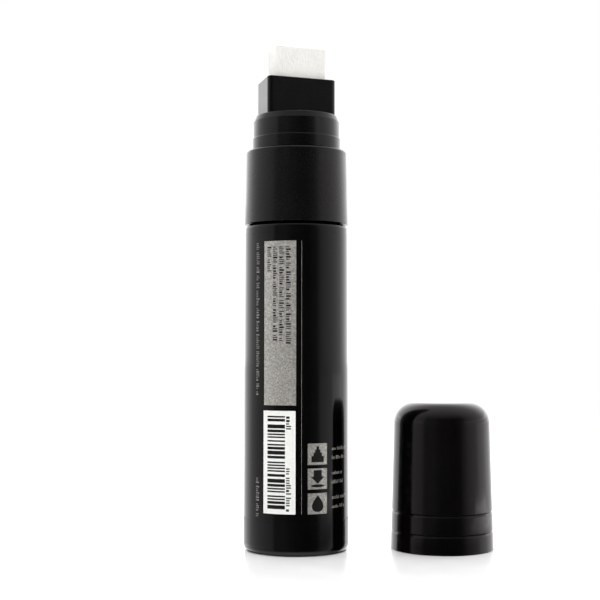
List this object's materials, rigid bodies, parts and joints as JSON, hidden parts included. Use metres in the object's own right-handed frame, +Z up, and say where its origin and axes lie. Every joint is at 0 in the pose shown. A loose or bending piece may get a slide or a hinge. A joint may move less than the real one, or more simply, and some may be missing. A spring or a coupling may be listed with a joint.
{
  "type": "pump-action block-nib marker",
  "caption": "Broad block-nib marker with a round barrel, screw collar, stepped neck, rectangular nib tower and spring pump valve, its push-on cap standing beside it.",
  "frame": {"origin": "centre of the barrel's foot, on the surface that the marker stands on", "axes": "+Z up the barrel towards the nib, +X towards the cap that stands beside it, -Y the side that is seen in front"},
  "size_m": [0.0714, 0.0312, 0.1434],
  "materials": {
    "barrel_plastic": "polished black moulding",
    "label_film": "glossy black film with silver and white print",
    "collar_plastic": "satin black moulding with fine grain",
    "head_plastic": "semi-gloss black moulding",
    "nib_fibre": "bonded white fibre",
    "gasket_rubber": "soft black rubber",
    "valve_plastic": "natural white moulding",
    "spring_steel": "drawn stainless wire",
    "cap_plastic": "semi-gloss black moulding",
    "liner_plastic": "natural translucent moulding"
  },
  "bodies": {
    "barrel": {"barrel": "barrel_plastic", "label_film": "label_film"},
    "head": {"nib_holder": "head_plastic", "valve_housing": "valve_plastic", "neck_gasket": "gasket_rubber", "valve_cage": "valve_plastic", "valve_spring": "spring_steel"},
    "collar": {"collar": "collar_plastic"},
    "plunger": {"valve_stem": "valve_plastic", "poppet_seal": "gasket_rubber"},
    "nib": {"nib": "nib_fibre"},
    "cap": {"cap": "cap_plastic", "cap_liner": "liner_plastic"}
  },
  "joints": [
    {"name": "head_lift", "type": "slide", "parent": "barrel", "child": "head", "axis": [0, 0, 1], "range_m": [0, 0.0106]},
    {"name": "collar_turn", "type": "hinge", "parent": "head", "child": "collar", "pos_m": [0, 0, 0.1], "axis": [0, 0, 1], "range_deg": [0, 1260]},
    {"name": "pump", "type": "slide", "parent": "head", "child": "plunger", "axis": [0, 0, -1], "range_m": [0, 0.003], "stiffness_N_per_m": 400, "springref_m": -0.004, "deforming": ["valve_spring"]},
    {"name": "nib_pull", "type": "slide", "parent": "plunger", "child": "nib", "axis": [0, 0, 1], "range_m": [0, 0.024]},
    {"name": "cap_lift", "type": "slide", "parent": "barrel", "child": "cap", "axis": [0, 0, 1], "range_m": [0, 0.15]}
  ],
  "couplings": [
    {"joint": "head_lift", "follows": "collar_turn", "m_per_rad": 0.00047746}
  ]
}
